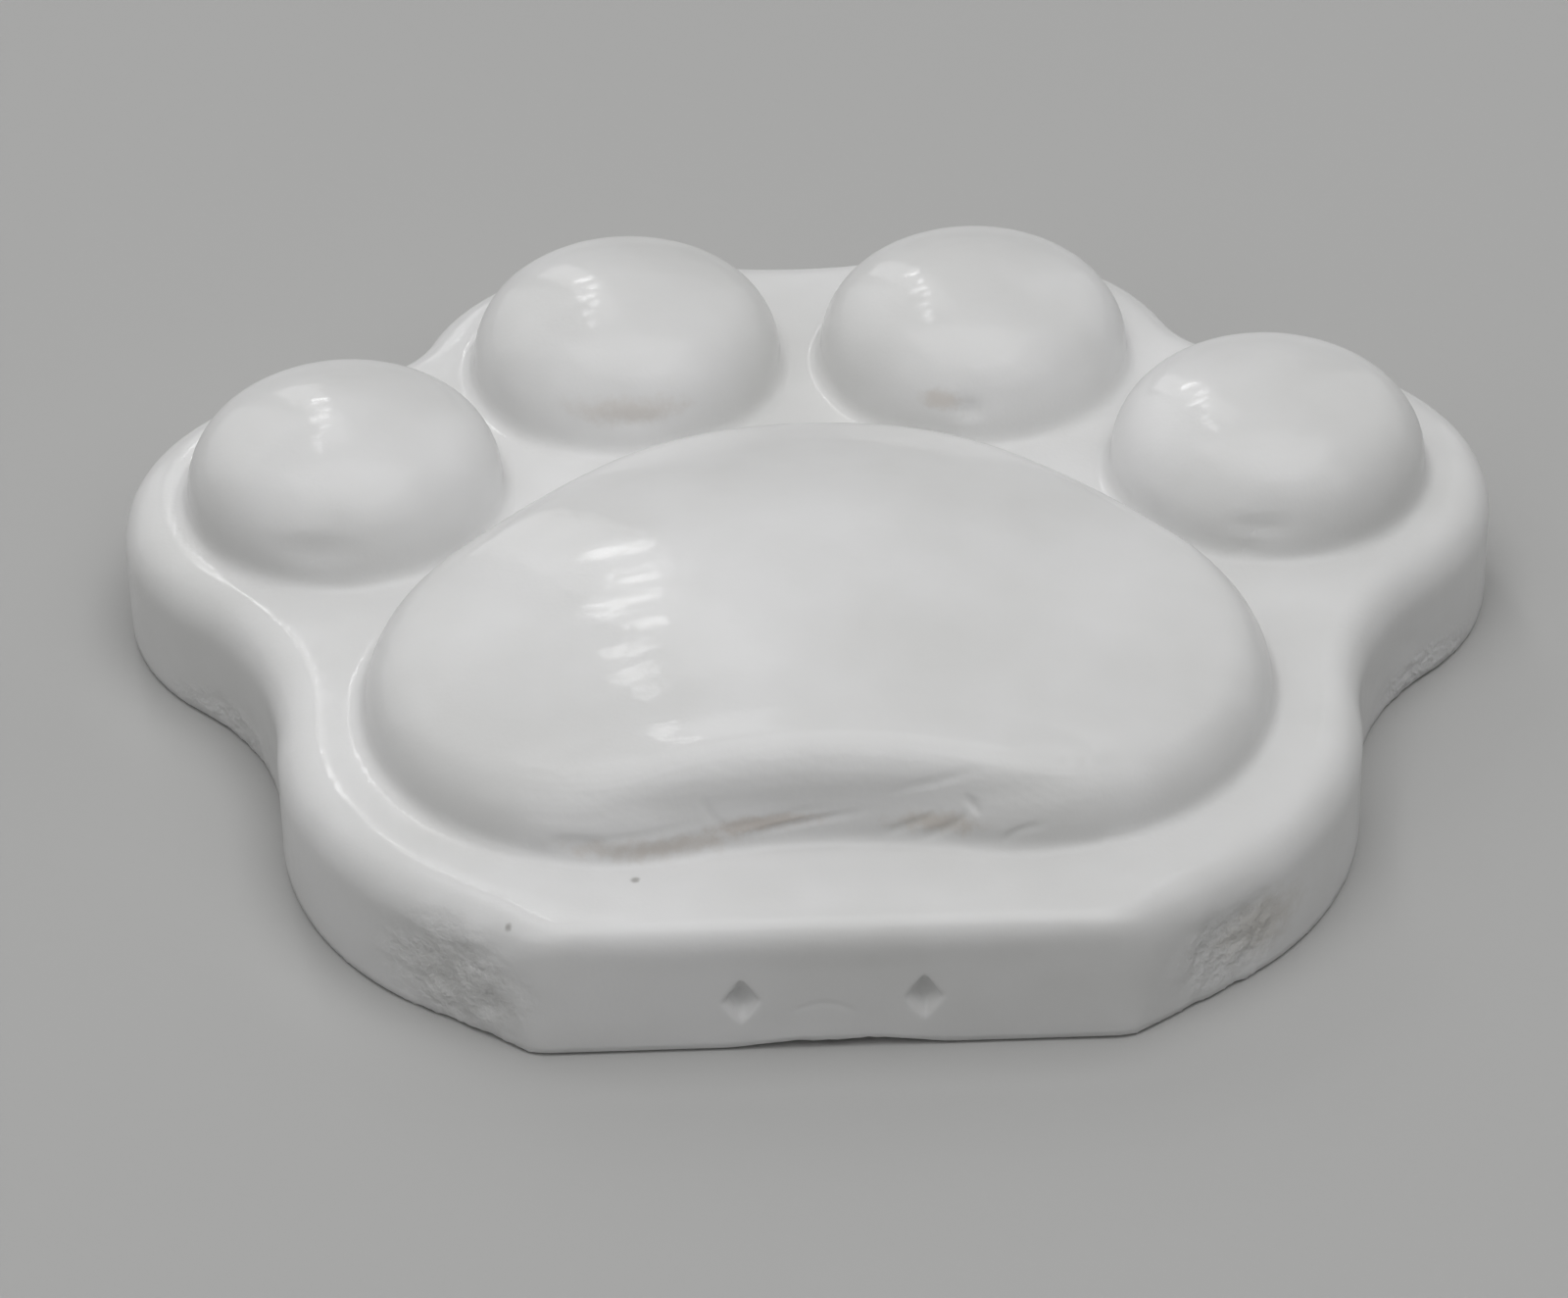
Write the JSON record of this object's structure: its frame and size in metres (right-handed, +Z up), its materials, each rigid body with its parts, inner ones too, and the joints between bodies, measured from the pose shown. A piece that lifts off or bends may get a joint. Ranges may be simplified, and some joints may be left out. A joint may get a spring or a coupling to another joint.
{
  "type": "silicone soap mould",
  "caption": "Paw-shaped silicone soap mould with domed toe pads and a broad main pad, standing open side down over the soap bar it casts.",
  "frame": {"origin": "centre of the bounding box, on the plane that the mould's rim and the bar's pour face rest on", "axes": "+X across the paw, +Y from the heel edge to the toes, +Z up from the rim to the pads"},
  "size_m": [0.08, 0.0662, 0.0155],
  "materials": {
    "silicone": "satin white silicone",
    "soap_backing": "waxy cream soap",
    "soap_pads": "waxy rose soap"
  },
  "bodies": {
    "soap_bar": {"bar_backing": "soap_backing", "main_pad_pour": "soap_pads", "outer_left_toe_pour": "soap_pads", "inner_left_toe_pour": "soap_pads", "inner_right_toe_pour": "soap_pads", "outer_right_toe_pour": "soap_pads"},
    "mould": {"mould_shell": "silicone"}
  },
  "joints": [
    {"name": "mould_lift", "type": "slide", "parent": "soap_bar", "child": "mould", "axis": [0, 0, 1], "range_m": [0, 0.03]}
  ]
}
